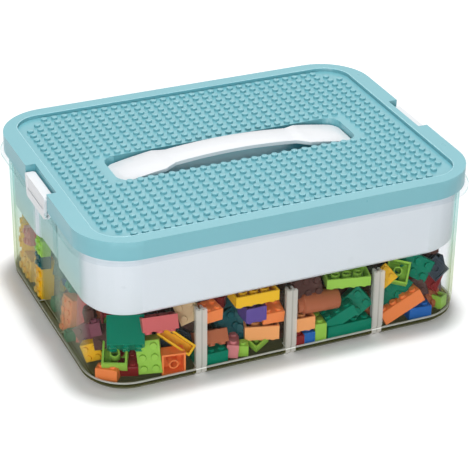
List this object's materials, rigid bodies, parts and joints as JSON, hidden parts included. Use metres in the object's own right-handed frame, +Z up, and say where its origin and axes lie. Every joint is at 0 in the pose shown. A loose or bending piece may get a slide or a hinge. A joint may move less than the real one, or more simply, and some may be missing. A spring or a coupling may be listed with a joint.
{
  "type": "building block storage box",
  "caption": "Rounded rectangular plastic storage box: clear tub with divider plates, white lift-out tray, studded lid with arched strap handle, and a swing latch at each end",
  "frame": {"origin": "under the middle of the box, on the surface that it stands on", "axes": "+X along the long side to the right, +Y to the back, +Z up"},
  "size_m": [0.3032, 0.2272, 0.1223],
  "materials": {
    "clear_plastic": "clear moulded plastic with a slight yellow-green tint at its edges",
    "frosted_plastic": "frosted translucent moulded plastic",
    "white_plastic": "white moulded plastic, satin",
    "teal_plastic": "soft teal moulded plastic, satin"
  },
  "bodies": {
    "base": {"base_tub": "clear_plastic"},
    "divider_left": {"divider_left": "frosted_plastic"},
    "divider_middle": {"divider_middle": "frosted_plastic"},
    "divider_right": {"divider_right": "frosted_plastic"},
    "tray": {"tray": "white_plastic"},
    "lid": {"lid": "teal_plastic"},
    "handle": {"handle": "white_plastic"},
    "latch_left": {"latch_left": "white_plastic"},
    "latch_right": {"latch_right": "white_plastic"}
  },
  "joints": [
    {"name": "lid_lift", "type": "slide", "parent": "base", "child": "lid", "axis": [0, 0, 1], "range_m": [0, 0.3]},
    {"name": "tray_lift", "type": "slide", "parent": "base", "child": "tray", "axis": [0, 0, 1], "range_m": [0, 0.18]},
    {"name": "divider_left_lift", "type": "slide", "parent": "base", "child": "divider_left", "axis": [0, 0, 1], "range_m": [0, 0.108]},
    {"name": "divider_middle_lift", "type": "slide", "parent": "base", "child": "divider_middle", "axis": [0, 0, 1], "range_m": [0, 0.108]},
    {"name": "divider_right_lift", "type": "slide", "parent": "base", "child": "divider_right", "axis": [0, 0, 1], "range_m": [0, 0.108]},
    {"name": "handle_lift", "type": "slide", "parent": "lid", "child": "handle", "axis": [0, 0, 1], "range_m": [0, 0.006]},
    {"name": "latch_left_swing", "type": "hinge", "parent": "base", "child": "latch_left", "pos_m": [-0.1483, 0, 0.1002], "axis": [0, -1, 0], "range_deg": [0, 90]},
    {"name": "latch_right_swing", "type": "hinge", "parent": "base", "child": "latch_right", "pos_m": [0.1483, 0, 0.1002], "axis": [0, 1, 0], "range_deg": [0, 90]}
  ],
  "couplings": [
    {"joint": "tray_lift", "follows": "lid_lift", "ratio": 0.6},
    {"joint": "divider_left_lift", "follows": "lid_lift", "ratio": 0.36},
    {"joint": "divider_middle_lift", "follows": "lid_lift", "ratio": 0.36},
    {"joint": "divider_right_lift", "follows": "lid_lift", "ratio": 0.36}
  ]
}
